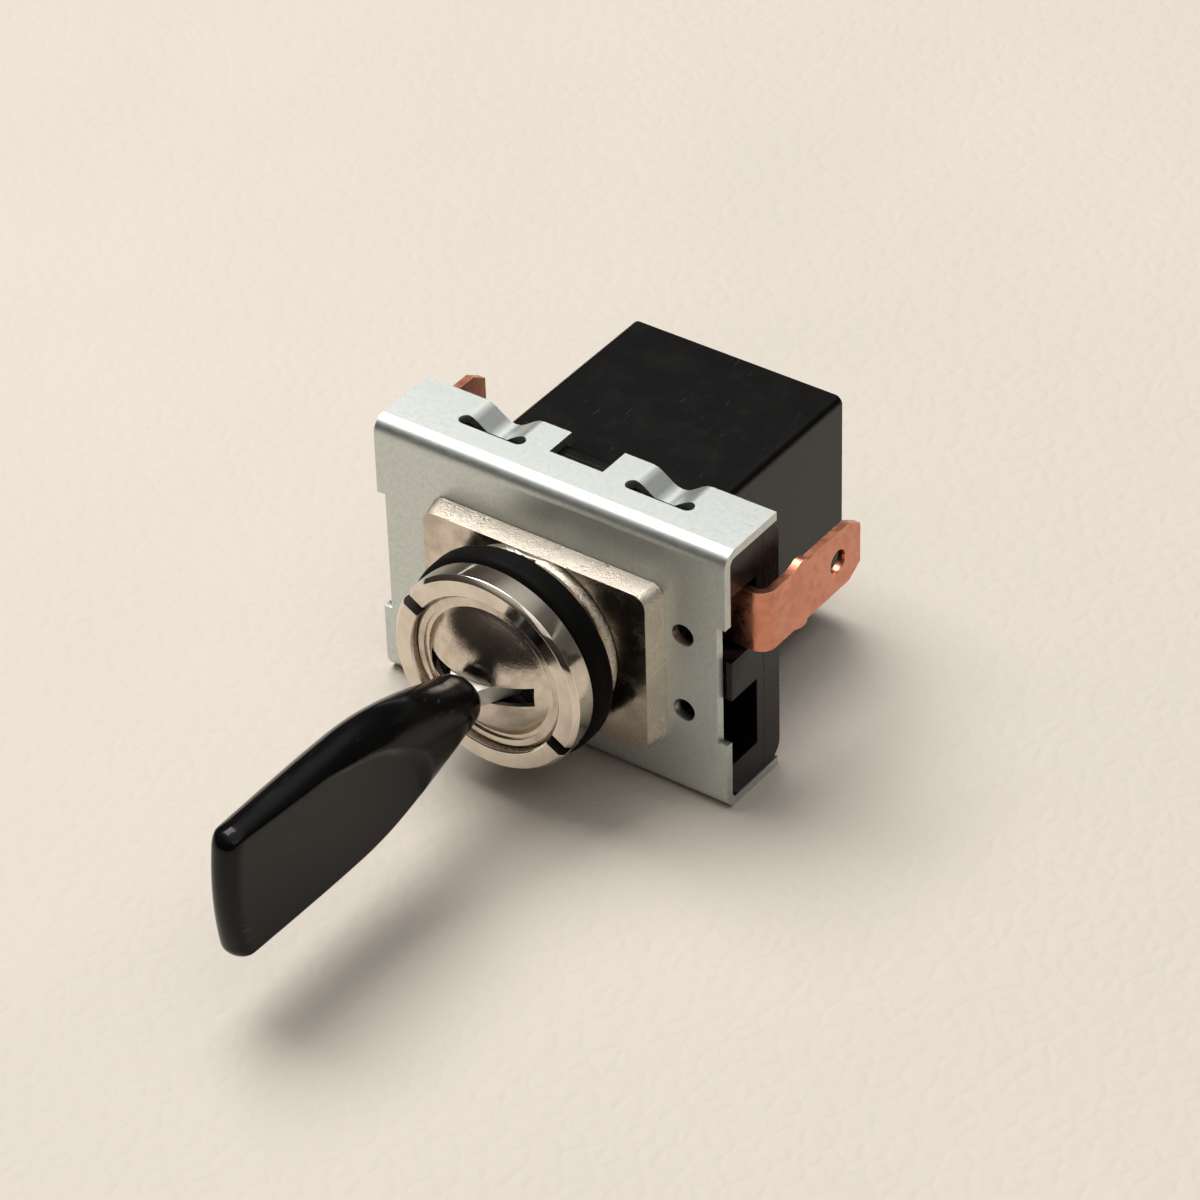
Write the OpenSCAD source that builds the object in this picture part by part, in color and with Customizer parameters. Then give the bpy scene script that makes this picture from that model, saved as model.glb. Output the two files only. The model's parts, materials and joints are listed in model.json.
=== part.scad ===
// Panel lever switch: a sheet-steel channel bracket carries a cast neck with a ring nut, a slotted
// dome and a flat lever with a moulded paddle, and behind it a moulded contact housing.
// Frame: origin on the neck axis at the bracket's front face. +X along the bracket, +Z up.
// The lever points along -Y. "Forward" distances (_f) are measured from the origin towards -Y.

/* [Bracket] */
// Length of the channel bracket
bracket_len = 38; // [34:0.5:48]
// Height over both flanges
bracket_h = 28.2; // [26:0.2:36]
// Depth of the flanges behind the front face
bracket_depth = 8.15; // [7.6:0.05:9.5]
// Thickness of the steel sheet
sheet_t = 0.9; // [0.7:0.05:1.2]
// Outside radius of the bends
bend_r = 1.6; // [1.2:0.1:2.5]
// Distance of the neck axis below the bracket's mid-height
neck_drop = 0.3; // [0:0.1:1]
// Radius of the two side holes
side_hole_r = 1.15; // [0.8:0.05:1.6]
// Distance between the two side holes
side_hole_pitch = 8.3; // [6:0.1:11]
// Distance of the side holes from the bracket's end
side_hole_inset = 4.5; // [3:0.1:5]
// Height of the relief cut in each end of the front plate
end_relief_h = 12.9; // [8:0.1:16]
// Depth of the relief cut in each end
end_relief_d = 0.9; // [0.3:0.1:1.4]

/* [Crimps] */
// Distance of a crimp from the middle of the flange
crimp_x = 9.1; // [8:0.1:11]
// Length of the slot in front of a crimp
crimp_slot_len = 7.2; // [6:0.1:8]
// Width of that slot
crimp_slot_w = 1.4; // [1:0.1:1.8]
// Distance of the slot behind the front face
crimp_slot_y = 4.6; // [4:0.1:5]
// Depth by which a crimp is pressed down
crimp_depth = 1.5; // [0.8:0.1:1.9]
// Width of a crimp's pressed part
crimp_span = 6.4; // [5:0.1:7]
// Width of the notch in the middle of a flange
flange_notch_w = 5.8; // [4:0.1:7]
// Front end of that notch
flange_notch_y = 4.7; // [4:0.1:6]

/* [Neck] */
// Width of the cast plate against the bracket
plate_w = 25.2; // [22:0.2:27]
// Height of the cast plate
plate_h = 17.6; // [16.4:0.2:22]
// Thickness of the cast plate
plate_t = 2.3; // [1.8:0.1:3]
// Side bevel of the cast plate
plate_bevel = 0.5; // [0.2:0.1:1.4]
// Length of the boss in front of the plate
boss_len = 2.2; // [2:0.1:3.5]
// Diameter of the boss
boss_d = 17; // [16.6:0.1:20]
// Diameter of the neck
neck_d = 15.9; // [15.4:0.1:16.5]
// Bore of the neck
neck_bore_d = 12.4; // [12:0.1:12.8]
// Thickness of the sealing washer
washer_t = 2.85; // [1.5:0.05:4]
// Outside diameter of the sealing washer
washer_d = 20.9; // [19:0.1:24]
// Outside diameter of the ring nut
nut_d = 20.1; // [18.5:0.1:23]
// Thickness of the ring nut
nut_t = 2.65; // [2:0.05:4]
// Depth of the neck's end behind the ring nut's face
neck_recess = 0.6; // [0.3:0.1:1]
// Width of a spanner slot in the ring nut
spanner_slot_w = 1.4; // [0.8:0.05:2]
// Direction of the spanner slots
spanner_angle = 149; // [0:1:180]

/* [Lever] */
// Distance of the pivot in front of the bracket face
pivot_f = 3.4; // [3.3:0.05:3.6]
// Radius of the pivot pin
pin_r = 1.0; // [0.7:0.05:1.2]
// Radial clearance of the hub on its pin
pin_clear = 0.05; // [0.02:0.01:0.1]
// Largest throw of the lever to each side, in degrees
throw_angle = 20; // [12:1:21]
// Thickness of the lever blade
blade_t = 1.8; // [1.2:0.1:1.9]
// Half width of the blade's shank
shank_half_w = 1.5; // [1.2:0.1:1.8]
// Outside radius of the dome
dome_r = 8.8; // [8.6:0.05:9]
// Height of the dome's slot
dome_slot_h = 2.0; // [1.9:0.05:2.4]
// Width of the dome's slot
dome_slot_w = 11.2; // [11:0.1:11.4]
// Start of the paddle in front of the bracket face
paddle_root_f = 13.3; // [13:0.1:15]
// Length of the paddle
paddle_len = 34; // [28:0.5:50]
// Width of the paddle
paddle_w = 13.7; // [11:0.1:18]
// Thickness of the paddle's flat part
paddle_t = 4.2; // [4:0.1:7]

/* [Housing] */
// Width of the rear box
box_w = 23.24; // [22.6:0.02:26]
// Height of the rear box
box_h = 21.52; // [21:0.02:24]
// Distance of the box's rear face behind the bracket face
box_rear_y = 30; // [29:0.5:40]
// Wall of the rear box
box_wall = 1.5; // [1.2:0.1:1.6]
// Distance of the seam between the mouldings behind the bracket face
seam_y = 6.2; // [6.1:0.05:6.4]
// Thickness of the rear cover's flange
cover_flange_t = 2.5; // [2:0.1:4]
// Radius of the rear cover flange's top and bottom edges
flange_edge_r = 1.7; // [0.5:0.1:2.2]

/* [Terminals] */
// Width of a blade terminal
blade_w = 6.35; // [6:0.05:6.4]
// Thickness of the terminal strip
strip_t = 0.8; // [0.7:0.05:0.85]
// Gap between the bracket's end and the blade's outer face
blade_standoff = 2.1; // [1.8:0.1:5]
// Front face of the terminal strip behind the bracket face
strip_y = 3.3; // [3.2:0.05:3.4]
// End of the blade behind the bracket face
blade_end_y = 18.4; // [16:0.1:26]
// Radius of the hole in the blade
blade_hole_r = 1.2; // [0.8:0.05:1.5]
// Outer bend radius of the strip
strip_bend_r = 1.5; // [1.2:0.1:1.7]
// Radius of a contact head
contact_r = 1.2; // [0.8:0.1:1.4]

/* [Hidden] */
$fn = 64;
eps = 0.01;

fit_gap = 0.05;              // gap between pieces that are pushed together
slide_gap = 0.12;            // gap at a sliding face
mid_z = neck_drop;           // the bracket's and the mouldings' mid-height
bend_in_r = bend_r - sheet_t;
end_x = bracket_len / 2;
side_hole_x = end_x - side_hole_inset;
crimp_front_y = crimp_slot_y + crimp_slot_w / 2;

// stations in front of the bracket face
boss_f = plate_t + boss_len;
washer_f = boss_f + washer_t;
nut_f = washer_f + nut_t;
neck_f = nut_f - neck_recess;
plate_corner_r = 1.3;
plate_draft = 0.25;
boss_fillet_r = 0.7;
neck_chamfer = 0.3;
dome_sheet = 0.5;
rim_wall = 0.9;              // neck wall left outside the dome's seat
rim_r = neck_d / 2 - rim_wall;
rim_recess = 0.2;
rim_f = neck_f - rim_recess;
rim_t = 0.5;
rim_lap = 0.3;
slot_foot = 0.1;
pin_inset = 0.9;
pin_half = boss_d / 2 - pin_inset;
spigot_r = 1.2;
spigot_head_r = 1.7;
spigot_head_t = 0.45;
spigot_inset = 2.6;
spigot_x = plate_w / 2 - spigot_inset;
spigot_z = plate_h / 2 - spigot_inset;

// lever and detent, measured from the pivot
hub_r = 3.2;
hub_half = 4.8;
tube_r = 2.5;
tube_bore_r = 1.75;
tube_end = 15.9;
tube_bottom = 4.5;
plunger_gap = 0.07;
plunger_r = tube_bore_r - plunger_gap;
plunger_back = 11.9;
plunger_tip = 19.48;
detent_gap = 0.07;
detent_in_r = plunger_tip + detent_gap;
detent_t = 1.25;
detent_out_r = detent_in_r + detent_t;
detent_depth = 0.35;
detent_notch_r = 2.4;
detent_half_angle = throw_angle + 7;
detent_half_h = 3.1;
saddle_gap = 0.01;
peg_r = 1.1;
peg_reach = 10.5;
peg_top_z = 5.0;
carriage_travel = peg_reach * sin(throw_angle);
fan_half_w = 4.2;
fan_reach = 4.6;
fan_f = pivot_f + fan_reach;
eye_r = 3.0;
eye_blend = 0.4;
tang_len = 13;
hub_rivet_r = 0.7;
hub_rivet_back = 1.9;
hub_rivet_y = pivot_f - hub_rivet_back;

// mouldings
moulding_end_gap = 0.15;
moulding_half_w = end_x - moulding_end_gap;
moulding_h = bracket_h - 2 * (sheet_t + fit_gap);
gasket_t = 0.25;
base_front_y = sheet_t + gasket_t;
bore_room = 0.3;
head_gap = 0.1;
hole_room = 0.2;
relief_room = 0.2;           // room around a crimp
base_chamfer = 0.6;
lever_opening_w = 13.4;
lever_opening_h = 5.8;
mouth_depth = 1;
window_in_z = 2.1;
window_out_z = 9.3;
window_rear_y = 5.1;
window_deep = 4.9;
cover_flange_y = seam_y + cover_flange_t;
box_corner_r = 0.8;
cavity_half_w = box_w / 2 - box_wall;
cavity_top_z = mid_z + box_h / 2 - box_wall;
cavity_h = box_h - 2 * box_wall;
lug_w = 5.2;
lug_len = 3.4;
lug_drop = 1.0;
lug_top_z = mid_z + bracket_h / 2 - lug_drop;

// terminals and contacts
blade_x = end_x + blade_standoff;
blade_z0 = 2.55;
blade_z1 = blade_z0 + blade_w;
strip_rear_y = strip_y + strip_t;
inner_strip_z0 = 3.6;
inner_strip_x = 11.5;
strip_end_x = 1.2;
blade_chamfer_y = 1.8;
blade_chamfer_z = 1.1;
shoulder_y = 8.75;
shoulder_len = 2.2;
shoulder_rise = 0.42;
blade_hole_inset = 3.65;
blade_hole_y = blade_end_y - blade_hole_inset;
terminal_rivet_x = 13.2;
terminal_rivet_r = 1.0;
rivet_head_r = 1.6;
rivet_head_t = 0.5;
rivet_inset = 0.2;
contact_z = 6.7;
contact_head_t = 0.45;
contact_shank_r = 0.7;
bridge_contact_x = 6.0;
bridge_gap = 0.05;
moving_head_t = 0.45;
moving_head_r = contact_r - 0.2;
bridge_front_y = strip_rear_y + contact_head_t + bridge_gap + moving_head_t;
bridge_t = 0.6;
bridge_half_w = 7.2;
bridge_half_h = 1.5;
travel_room = 0.3;           // room left past a moving piece's travel
recess_half_w = bridge_half_w + carriage_travel + travel_room;
post_r = 0.9;
post_proud = 0.2;
pad_rivet_gap = 2.2;
pad_end_gap = 2.4;
pad_x0 = terminal_rivet_x + pad_rivet_gap;
pad_x1 = moulding_half_w - pad_end_gap;
pad_inset = 0.4;

// carriage and its guides
carriage_side_gap = 0.2;
carriage_half_w = cavity_half_w - carriage_travel - carriage_side_gap;
carriage_y0 = 6.6;
carriage_y1 = 12.9;
carriage_z0 = 3.6;
carriage_z1 = cavity_top_z - slide_gap;
peg_slot_room = 0.4;
peg_slot_y = peg_reach - pivot_f + peg_r + peg_slot_room;
shelf_t = 0.8;
shelf_y = peg_slot_y + travel_room;
stop_t = 0.9;
spring_pocket_y = 8.4;
spring_x = 4.2;
spring_pocket_r = 1.45;

// ---- shared shapes ----

// A rectangle with true round corners, about the origin.
module rounded_rect(w, h, r) {
    square([w - 2 * r, h], center = true);
    square([w, h - 2 * r], center = true);
    for (x = [-1, 1], z = [-1, 1])
        translate([x * (w / 2 - r), z * (h / 2 - r)]) circle(r);
}

// Extrudes an XZ outline from y0 to y1.
module along_y(y0, y1) {
    translate([0, y1, 0]) rotate([90, 0, 0]) linear_extrude(y1 - y0) children();
}

// Extrudes a YZ outline over the given width, about x = 0.
module along_x(w) {
    translate([-w / 2, 0, 0]) rotate([90, 0, 90]) linear_extrude(w) children();
}

// A round bar along Y from y0 to y1.
module bar_y(y0, y1, r) {
    translate([0, y1, 0]) rotate([90, 0, 0]) cylinder(h = y1 - y0, r = r);
}

// Turns an outline of (radius, forward distance) about the neck axis.
module turned() {
    rotate([90, 0, 0]) rotate_extrude() children();
}

// A box given by its lowest and highest corners.
module block(lo, hi) {
    translate(lo) cube(hi - lo);
}

// Both sides of the neck's axis.
module both_sides() {
    children();
    mirror([1, 0, 0]) children();
}

// Top and bottom of the bracket, which is symmetric about its mid-height.
module both_flanges() {
    translate([0, 0, mid_z]) children();
    translate([0, 0, mid_z]) mirror([0, 0, 1]) children();
}

// Depth of a crimp at a distance from its middle.
function crimp_dip(x) = -crimp_depth / 2 * (1 + cos(360 * x / crimp_span));

crimp_steps = [for (i = [0:12]) -crimp_span / 2 + crimp_span * i / 12];

// Outline of a crimp between two heights over its own curve.
module crimp_outline(low, high) {
    polygon(concat([for (x = crimp_steps) [x, crimp_dip(x) + high]],
        [for (i = [12:-1:0]) [crimp_steps[i], crimp_dip(crimp_steps[i]) + low]]));
}

// Coil spring along Y: a round wire swept along its helix.
module coil(y0, y1, r, wire_r, turns) {
    sides = 6;
    steps = 12;
    n = turns * steps;
    points = [for (i = [0:n], j = [0:sides - 1])
        let (a = 360 * i / steps, b = 360 * j / sides, q = r + wire_r * cos(b))
        [q * cos(a), y0 + wire_r + (y1 - y0 - 2 * wire_r) * i / n + wire_r * sin(b), q * sin(a)]];
    skin = [for (i = [0:n - 1], j = [0:sides - 1])
        let (k = (j + 1) % sides)
        [i * sides + j, i * sides + k, (i + 1) * sides + k, (i + 1) * sides + j]];
    start = [[for (j = [sides - 1:-1:0]) j]];
    finish = [[for (j = [0:sides - 1]) n * sides + j]];
    polyhedron(points, concat(skin, start, finish));
}

// ---- bracket ----

// Channel outline in YZ, with round bends at both front corners.
module channel_outline() {
    difference() {
        union() {
            translate([0, -bracket_h / 2 + bend_r]) square([sheet_t, bracket_h - 2 * bend_r]);
            for (s = [-1, 1]) {
                scale([1, s]) translate([bend_r, bracket_h / 2 - sheet_t])
                    square([bracket_depth - bend_r, sheet_t]);
                scale([1, s]) translate([bend_r, bracket_h / 2 - bend_r]) intersection() {
                    circle(bend_r);
                    translate([-bend_r, 0]) square(bend_r);
                }
            }
        }
        for (s = [-1, 1])
            scale([1, s]) translate([bend_r, bracket_h / 2 - bend_r]) circle(bend_in_r);
    }
}

module crimp() {
    translate([0, 0, bracket_h / 2]) along_y(crimp_front_y, bracket_depth)
        crimp_outline(-sheet_t, 0);
}

module flange_cuts() {
    top = bracket_h / 2;
    for (x = [-crimp_x, crimp_x]) {
        block([x - crimp_span / 2, crimp_front_y, top - sheet_t - eps],
            [x + crimp_span / 2, bracket_depth + eps, top + eps]);
        for (e = [-1, 1])
            translate([x + e * (crimp_slot_len - crimp_slot_w) / 2, crimp_slot_y, top - 2 * sheet_t])
                cylinder(h = 3 * sheet_t, r = crimp_slot_w / 2);
        block([x - (crimp_slot_len - crimp_slot_w) / 2, crimp_slot_y - crimp_slot_w / 2,
            top - 2 * sheet_t], [x + (crimp_slot_len - crimp_slot_w) / 2, crimp_front_y, top + sheet_t]);
    }
    block([-flange_notch_w / 2, flange_notch_y, top - 2 * sheet_t],
        [flange_notch_w / 2, bracket_depth + eps, top + sheet_t]);
}

module bracket() {
    color("lightsteelblue") {
        difference() {
            translate([0, 0, mid_z]) along_x(bracket_len) channel_outline();
            both_flanges() flange_cuts();
            bar_y(-eps, sheet_t + eps, neck_bore_d / 2);
            for (z = [-1, 1])
                translate([side_hole_x, 0, z * side_hole_pitch / 2])
                    bar_y(-eps, sheet_t + eps, side_hole_r);
            for (x = [-1, 1], z = [-1, 1])
                translate([x * spigot_x, 0, z * spigot_z]) bar_y(-eps, sheet_t + eps, spigot_r);
            both_sides() block([end_x - end_relief_d, -eps, -end_relief_h / 2],
                [end_x + eps, sheet_t + eps, end_relief_h / 2]);
        }
        both_flanges() for (x = [-crimp_x, crimp_x]) translate([x, 0, 0]) crimp();
    }
}

// ---- neck, washer, nut and dome ----

// The plate, drawn in towards its front face.
module plate_body() {
    skin = 0.1;
    hull() {
        along_y(-skin, 0) rounded_rect(plate_w, plate_h, plate_corner_r, $fn = 32);
        along_y(-plate_t, skin - plate_t)
            rounded_rect(plate_w - 2 * plate_bevel, plate_h - 2 * plate_draft, plate_corner_r, $fn = 32);
    }
}

module boss_fillet() {
    intersection() {
        turned() difference() {
            translate([boss_d / 2 - eps, plate_t]) square(boss_fillet_r + eps);
            translate([boss_d / 2 + boss_fillet_r, plate_t + boss_fillet_r]) circle(boss_fillet_r);
        }
        along_y(-boss_f, 0) rounded_rect(plate_w, plate_h - 2 * plate_draft, plate_corner_r);
    }
}

module neck_plate() {
    color("rosybrown") {
        difference() {
            union() {
                plate_body();
                boss_fillet();
                turned() polygon([[0, plate_t - eps], [boss_d / 2, plate_t - eps], [boss_d / 2, boss_f],
                    [neck_d / 2, boss_f], [neck_d / 2, neck_f - neck_chamfer],
                    [neck_d / 2 - neck_chamfer, neck_f], [0, neck_f]]);
            }
            bar_y(-neck_f - eps, eps, neck_bore_d / 2);
            bar_y(-neck_f - eps, -rim_f + rim_t, rim_r);
            translate([0, -pivot_f, -boss_d / 2 - eps]) cylinder(h = boss_d + 2 * eps, r = pin_r);
        }
        for (x = [-1, 1], z = [-1, 1]) translate([x * spigot_x, 0, z * spigot_z]) {
            bar_y(-eps, sheet_t, spigot_r);
            bar_y(sheet_t, sheet_t + spigot_head_t, spigot_head_r);
        }
    }
}

module sealing_washer() {
    edge_r = 0.8;
    inner = neck_d / 2 + fit_gap;
    color([0.1, 0.1, 0.1]) turned() union() {
        translate([inner, boss_f]) square([washer_d / 2 - edge_r - inner, washer_t]);
        translate([inner, boss_f + edge_r]) square([washer_d / 2 - inner, washer_t - 2 * edge_r]);
        for (f = [boss_f + edge_r, washer_f - edge_r])
            translate([washer_d / 2 - edge_r, f]) circle(edge_r);
    }
}

module ring_nut() {
    inner = neck_d / 2 + fit_gap;
    face_chamfer_r = 0.4;
    face_chamfer_f = 0.5;
    back_chamfer = 0.15;
    bore_chamfer = 0.15;
    slot_depth = 1.5;
    color("tan") difference() {
        turned() polygon([[inner, washer_f], [nut_d / 2 - back_chamfer, washer_f],
            [nut_d / 2, washer_f + back_chamfer], [nut_d / 2, nut_f - face_chamfer_f],
            [nut_d / 2 - face_chamfer_r, nut_f], [inner + bore_chamfer, nut_f],
            [inner, nut_f - bore_chamfer]]);
        rotate([0, -spanner_angle, 0])
            block([-nut_d, -nut_f - eps, -spanner_slot_w / 2],
                [nut_d, -nut_f + slot_depth, spanner_slot_w / 2]);
    }
}

module dome_cap() {
    color("rosybrown") difference() {
        turned() {
            intersection() {
                translate([0, pivot_f]) difference() {
                    circle(dome_r);
                    circle(dome_r - dome_sheet);
                }
                translate([0, rim_f - eps]) square([dome_r, dome_r]);
            }
            translate([neck_bore_d / 2 - rim_lap, rim_f - rim_t])
                square([rim_r - neck_bore_d / 2 + rim_lap, rim_t]);
        }
        block([-dome_slot_w / 2, -pivot_f - dome_r - eps, -dome_slot_h / 2],
            [dome_slot_w / 2, -rim_f - slot_foot, dome_slot_h / 2]);
    }
}

module pivot_pin() {
    color("silver") translate([0, -pivot_f, -pin_half]) cylinder(h = 2 * pin_half, r = pin_r);
}

// ---- lever ----

module lever_hub() {
    color("gainsboro") translate([0, -pivot_f, 0]) difference() {
        union() {
            translate([0, 0, -hub_half]) cylinder(h = 2 * hub_half, r = hub_r);
            bar_y(0, tube_end, tube_r);
            translate([0, peg_reach, 0]) cylinder(h = peg_top_z, r = peg_r);
        }
        bar_y(tube_bottom, tube_end + eps, tube_bore_r);
        translate([0, 0, -hub_half - eps]) cylinder(h = 2 * hub_half + 2 * eps, r = pin_r + pin_clear);
        block([-hub_r - eps, -hub_r - eps, -blade_t / 2], [hub_r + eps, eye_r, blade_t / 2]);
        translate([0, pivot_f - hub_rivet_y, -hub_half - eps])
            cylinder(h = 2 * hub_half + 2 * eps, r = hub_rivet_r);
    }
}

module lever_blade() {
    color("silver") translate([0, 0, -blade_t / 2]) difference() {
        linear_extrude(blade_t) union() {
            translate([0, -pivot_f]) circle(eye_r);
            polygon([[-eye_r + eye_blend, -pivot_f], [-fan_half_w, -fan_f], [-shank_half_w, -paddle_root_f],
                [-shank_half_w, -paddle_root_f - tang_len], [shank_half_w, -paddle_root_f - tang_len],
                [shank_half_w, -paddle_root_f], [fan_half_w, -fan_f], [eye_r - eye_blend, -pivot_f]]);
        }
        translate([0, -pivot_f, -eps]) cylinder(h = blade_t + 2 * eps, r = pin_r + pin_clear);
        translate([0, -hub_rivet_y, -eps]) cylinder(h = blade_t + 2 * eps, r = hub_rivet_r);
    }
}

module blade_rivet() {
    color("silver") translate([0, -hub_rivet_y, -hub_half])
        cylinder(h = 2 * hub_half, r = hub_rivet_r);
}

// Side outline of the paddle, as half widths along its length.
paddle_side = [[0, 0.30], [0.02, 0.37], [0.08, 0.46], [0.2, 0.70], [0.31, 0.87], [0.42, 0.97],
    [0.52, 1.0], [0.93, 0.985], [0.965, 0.93], [0.985, 0.75], [0.996, 0.4], [1, 0]];
// Thickness outline of the paddle, as shares of its flat part's thickness.
paddle_top = [[0, 1], [0.02, 1.19], [0.08, 1.36], [0.2, 1.48], [0.31, 1.4], [0.42, 1.2],
    [0.52, 1.0], [0.93, 0.76], [0.98, 0.68], [1, 0.5]];

module paddle_outline(shares, half) {
    n = len(shares) - 1;
    polygon(concat([for (s = shares) [-paddle_root_f - s[0] * paddle_len, s[1] * half]],
        [for (i = [n:-1:0]) [-paddle_root_f - shares[i][0] * paddle_len, -shares[i][1] * half]]));
}

module paddle() {
    mouth = 1;
    color([0.08, 0.08, 0.08]) difference() {
        intersection() {
            along_x(2 * paddle_t) paddle_outline(paddle_side, paddle_w / 2);
            translate([0, 0, -paddle_w]) linear_extrude(2 * paddle_w) mirror([1, 0])
                rotate(90) paddle_outline(paddle_top, paddle_t / 2);
        }
        block([-shank_half_w, -paddle_root_f - tang_len, -blade_t / 2],
            [shank_half_w, -paddle_root_f + mouth, blade_t / 2]);
    }
}

// ---- detent ----

module detent_plunger() {
    color("peru") translate([0, -pivot_f, 0]) {
        bar_y(plunger_back, plunger_tip - plunger_r, plunger_r);
        translate([0, plunger_tip - plunger_r, 0]) sphere(plunger_r);
    }
}

module detent_spring() {
    coil_r = 1.2;
    wire_r = 0.25;
    color("silver")
        coil(tube_bottom - pivot_f + fit_gap, plunger_back - pivot_f - fit_gap, coil_r, wire_r, 6);
}

module detent_wedge() {
    reach = 30;
    polygon([[0, 0], [reach * sin(detent_half_angle), reach * cos(detent_half_angle)],
        [-reach * sin(detent_half_angle), reach * cos(detent_half_angle)]]);
}

module detent_plate() {
    notch_at = detent_in_r + detent_depth - detent_notch_r;
    color("slategray") translate([0, -pivot_f, -detent_half_h]) linear_extrude(2 * detent_half_h)
        difference() {
            intersection() {
                circle(detent_out_r);
                detent_wedge();
            }
            circle(detent_in_r);
            for (a = [-throw_angle, 0, throw_angle])
                rotate(a) translate([0, notch_at]) circle(detent_notch_r);
        }
}

// ---- housing ----

module insulating_sheet() {
    edge_inset = 0.3;
    end_inset = 0.4;
    sheet_h = bracket_h - 2 * (bend_r + edge_inset);
    color("sienna") difference() {
        translate([0, 0, mid_z]) along_y(sheet_t, base_front_y)
            square([2 * (end_x - end_relief_d - end_inset), sheet_h], center = true);
        bar_y(0, base_front_y + eps, neck_bore_d / 2 + bore_room);
        for (x = [-1, 1], z = [-1, 1]) translate([x * spigot_x, 0, z * spigot_z])
            bar_y(0, base_front_y + eps, spigot_head_r + head_gap);
        for (z = [-1, 1]) translate([side_hole_x, 0, z * side_hole_pitch / 2])
            bar_y(0, base_front_y + eps, side_hole_r + hole_room);
    }
}

// Room for the crimps in the top and bottom of a moulding.
module crimp_reliefs(y0, y1) {
    room = 4;
    both_flanges() for (x = [-crimp_x, crimp_x])
        translate([x, 0, bracket_h / 2]) along_y(y0, y1)
            polygon(concat([for (s = crimp_steps) [s, crimp_dip(s) - sheet_t - fit_gap]],
                [[crimp_span / 2, room], [-crimp_span / 2, room]]));
}

module base_body() {
    translate([0, 0, mid_z]) along_x(2 * moulding_half_w) polygon([
        [base_front_y, -moulding_h / 2 + base_chamfer], [base_front_y + base_chamfer, -moulding_h / 2],
        [seam_y, -moulding_h / 2], [seam_y, moulding_h / 2],
        [base_front_y + base_chamfer, moulding_h / 2], [base_front_y, moulding_h / 2 - base_chamfer]]);
}

module terminal_base() {
    channel_gap = 0.05;
    rivet_pocket_r = rivet_head_r + hole_room;
    color([0.12, 0.12, 0.12]) difference() {
        base_body();
        crimp_reliefs(crimp_front_y - relief_room, seam_y + eps);
        // passage of the lever's tail
        block([-lever_opening_w / 2, 0, -lever_opening_h / 2],
            [lever_opening_w / 2, seam_y + eps, lever_opening_h / 2]);
        bar_y(0, base_front_y + mouth_depth, neck_bore_d / 2 + bore_room);
        // room for the peg and the bridge behind the strips
        block([-recess_half_w, strip_rear_y, lever_opening_h / 2 - eps],
            [recess_half_w, seam_y + eps, window_out_z]);
        both_sides() {
            // windows in the end face
            for (z = [-1, 1]) scale([1, 1, z])
                block([moulding_half_w - window_deep, base_front_y - eps, window_in_z],
                    [moulding_half_w + eps, window_rear_y, window_out_z]);
            // channel of the terminal strip
            block([0, strip_y, blade_z0 - channel_gap],
                [moulding_half_w + eps, strip_rear_y + channel_gap, blade_z1 + channel_gap]);
            strip_pad(fit_gap, strip_rear_y);
            translate([terminal_rivet_x, 0, (blade_z0 + blade_z1) / 2]) {
                bar_y(0, seam_y + eps, terminal_rivet_r);
                bar_y(0, base_front_y + rivet_inset + rivet_head_t, rivet_pocket_r);
                bar_y(strip_rear_y, seam_y + eps, rivet_pocket_r);
            }
        }
        for (x = [-1, 1], z = [-1, 1]) translate([x * spigot_x, 0, z * spigot_z])
            bar_y(0, sheet_t + spigot_head_t + head_gap, spigot_head_r + head_gap);
        for (z = [-1, 1]) translate([side_hole_x, 0, z * side_hole_pitch / 2])
            bar_y(0, window_rear_y, side_hole_r + hole_room);
    }
}

// Pad of the rear cover that holds a terminal strip in its channel, grown by a gap for its pocket.
module strip_pad(gap, y0) {
    block([pad_x0 - gap, y0, blade_z0 + pad_inset - gap],
        [pad_x1 + gap, seam_y + eps, blade_z1 - pad_inset + gap]);
}

// Outline of the rear cover's flange in YZ, with round rear edges.
module flange_outline() {
    intersection() {
        translate([seam_y, 0]) rounded_rect(2 * cover_flange_t, moulding_h, flange_edge_r);
        translate([seam_y, -moulding_h / 2]) square([cover_flange_t, moulding_h]);
    }
}

module cover_shell() {
    translate([0, 0, mid_z]) difference() {
        union() {
            along_x(2 * moulding_half_w) flange_outline();
            along_y(seam_y, box_rear_y) rounded_rect(box_w, box_h, box_corner_r);
        }
        along_y(seam_y - eps, box_rear_y - box_wall) square([2 * cavity_half_w, cavity_h], center = true);
    }
}

module detent_saddle() {
    rib_t = 1.4;
    difference() {
        for (s = [-1, 1]) scale([1, 1, s])
            block([-cavity_half_w - eps, detent_in_r * cos(detent_half_angle) - pivot_f,
                detent_half_h - rib_t],
                [cavity_half_w + eps, box_rear_y - box_wall + eps, detent_half_h]);
        translate([0, -pivot_f, -detent_half_h - eps])
            cylinder(h = 2 * detent_half_h + 2 * eps, r = detent_out_r + saddle_gap);
    }
}

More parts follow.
